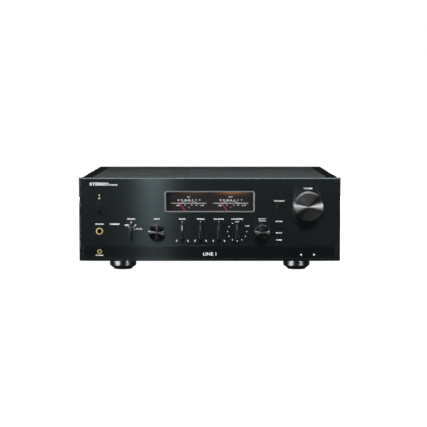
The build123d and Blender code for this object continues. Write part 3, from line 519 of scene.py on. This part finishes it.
# pointer lines on the bar knobs, each riding with its knob; their brightness is a painted highlight, bright white on
# the bass knob and dim grey on the others
BARS = {"bass_knob": -45.75, "treble_knob": -15.25, "balance_knob": 15.25, "loudness_knob": 45.75, "speakers_knob": -130.8}
BAR_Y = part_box("bass_knob")[0][1] - 0.00004
for n, x in BARS.items():
    stroke(x, 70.5, x, 78.6, 0.7, BAR_Y, n + "_line")

# rear lettering, facing backwards
def rear_text(body, x, z, cap, width=None):
    text(body, 0, 0, cap, width, group="rear_tmp")
    me = pieces["rear_tmp"].pop()
    for v in me.vertices:
        v.co = (x * MM - v.co.x, YR + 0.00004, z * MM + v.co.z)
    pieces.setdefault("rear_print", []).append(me)


rear_text("SPEAKERS A", -65, 118.0, 2.6)
rear_text("SPEAKERS B", -125, 118.0, 2.6)
rear_text("NETWORK", 20, 128.5, 2.2)
rear_text("5V 1A", 45, 128.5, 2.2)
rear_text("OPTICAL", 77, 128.5, 2.2)
rear_text("AC IN", 165, 68.0, 2.4)
rear_text("ANTENNA", 165, 130.0, 2.4)
for i, x in enumerate((10, 30, 50, 70, 90)):
    rear_text(str(i + 1), x, 97.5, 2.6)
pieces.pop("rear_tmp", None)

RIDES = {"panel_print": "chassis", "display_text": "chassis", "window_print": "chassis", "meter_print": "chassis", "rear_print": "chassis"}
INKS = {"panel_print": "ink", "display_text": "glow", "window_print": "ink", "meter_print": "scaleink", "rear_print": "ink"}
for n in BARS:
    RIDES[n + "_line"] = n
    # painted highlight: the bass pointer gets the bright white ink, the other pointers a dim grey
    INKS[n + "_line"] = "ink" if n == "bass_knob" else "pointer_highlight_dim"
for g_, meshes in pieces.items():
    import bmesh
    bm = bmesh.new()
    for me in meshes:
        bm.from_mesh(me)
    out = bpy.data.meshes.new(g_)
    bm.to_mesh(out)
    bm.free()
    for me in meshes:
        bpy.data.meshes.remove(me)
    ob = bpy.data.objects.new(g_, out)
    bpy.context.scene.collection.objects.link(ob)
    out.materials.append(M[INKS[g_]])
    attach(ob, RIDES[g_])

# ------------------------------------------------------------------ stage
fm = bpy.data.meshes.new("floor")
fm.from_pydata([(-9, -9, 0), (9, -9, 0), (9, 12, 0), (-9, 12, 0)], [], [(0, 1, 2, 3)])
floor = bpy.data.objects.new("floor", fm)
bpy.context.scene.collection.objects.link(floor)
fl = bpy.data.materials.new("floor_white")
fl.use_nodes = True
fb = fl.node_tree.nodes["Principled BSDF"]
fb.inputs["Base Color"].default_value = (0.9, 0.9, 0.9, 1)
fb.inputs["Roughness"].default_value = 0.9
fb.inputs["Specular IOR Level"].default_value = 0.0
fb.inputs["Emission Color"].default_value = (1, 1, 1, 1)
fb.inputs["Emission Strength"].default_value = 1.0
fm.materials.append(fl)
floor.visible_glossy = False
floor.visible_diffuse = False


def area(name, loc, target, sx, sy, power, colour=(1, 1, 1)):
    li = bpy.data.lights.new(name, "AREA")
    li.shape = "RECTANGLE"
    li.size, li.size_y = sx, sy
    li.energy = power
    li.color = colour
    ob = bpy.data.objects.new(name, li)
    bpy.context.scene.collection.objects.link(ob)
    ob.location = loc
    ob.rotation_mode = "QUATERNION"
    ob.rotation_quaternion = (Vector(target) - Vector(loc)).to_track_quat("-Z", "Y")
    ob.visible_camera = False
    return ob


area("overhead", (0.0, -0.1, 1.9), (0, -0.1, 0), 2.4, 1.6, 10.0)
area("cover", (0.0, -0.1, 0.48), (0, -0.12, 0.15), 1.0, 0.1, 1.9)
area("front_top", (0.0, -1.3, 0.76), (0, -0.2, 0.1), 1.6, 0.3, 2.0)
area("band", (-0.137, -1.25, 0.39), (-0.088, -0.2085, 0.1), 0.06, 0.44, 0.23, (0.9, 0.98, 1.0))
area("left", (-1.53, -1.49, 0.1), (0.0, -0.2, 0.1), 1.4, 0.24, 28.0)
area("right", (1.3, -1.7, 0.1), (0.0, -0.2, 0.1), 0.8, 0.24, 9.0)
area("back", (0.0, 1.7, 0.08), (0, 0.2, 0.08), 1.6, 0.13, 16.0)
area("side_left", (-1.3, 1.5, 0.08), (-0.2, 0.1, 0.08), 1.0, 0.13, 9.0)
area("side_right", (1.3, 1.5, 0.08), (0.2, 0.1, 0.08), 1.0, 0.13, 9.0)

world = bpy.data.worlds.new("w")
bpy.context.scene.world = world
world.use_nodes = True
wt = world.node_tree
bg = wt.nodes["Background"]
lp = wt.nodes.new("ShaderNodeLightPath")
mix = wt.nodes.new("ShaderNodeMix")
mix.data_type = "RGBA"
mix.inputs["A"].default_value = (0.014, 0.015, 0.016, 1)
mix.inputs["B"].default_value = (1, 1, 1, 1)
wt.links.new(lp.outputs["Is Camera Ray"], mix.inputs["Factor"])
wt.links.new(mix.outputs["Result"], bg.inputs["Color"])
bg.inputs["Strength"].default_value = 1.0

# ------------------------------------------------------------------ camera
cam_d = bpy.data.cameras.new("cam")
cam = bpy.data.objects.new("cam", cam_d)
bpy.context.scene.collection.objects.link(cam)
cam_d.sensor_width = 36.0
cam_d.lens = 120.5
cam.location = (0.0050, YF - 2.37, 0.281)
cam.rotation_mode = "QUATERNION"
cam.rotation_quaternion = (Vector((0.0063, YF, 0.0976)) - Vector(cam.location)).to_track_quat("-Z", "Y")
bpy.context.scene.camera = cam
bpy.context.scene.view_settings.view_transform = "Standard"
bpy.context.scene.view_settings.look = "None"
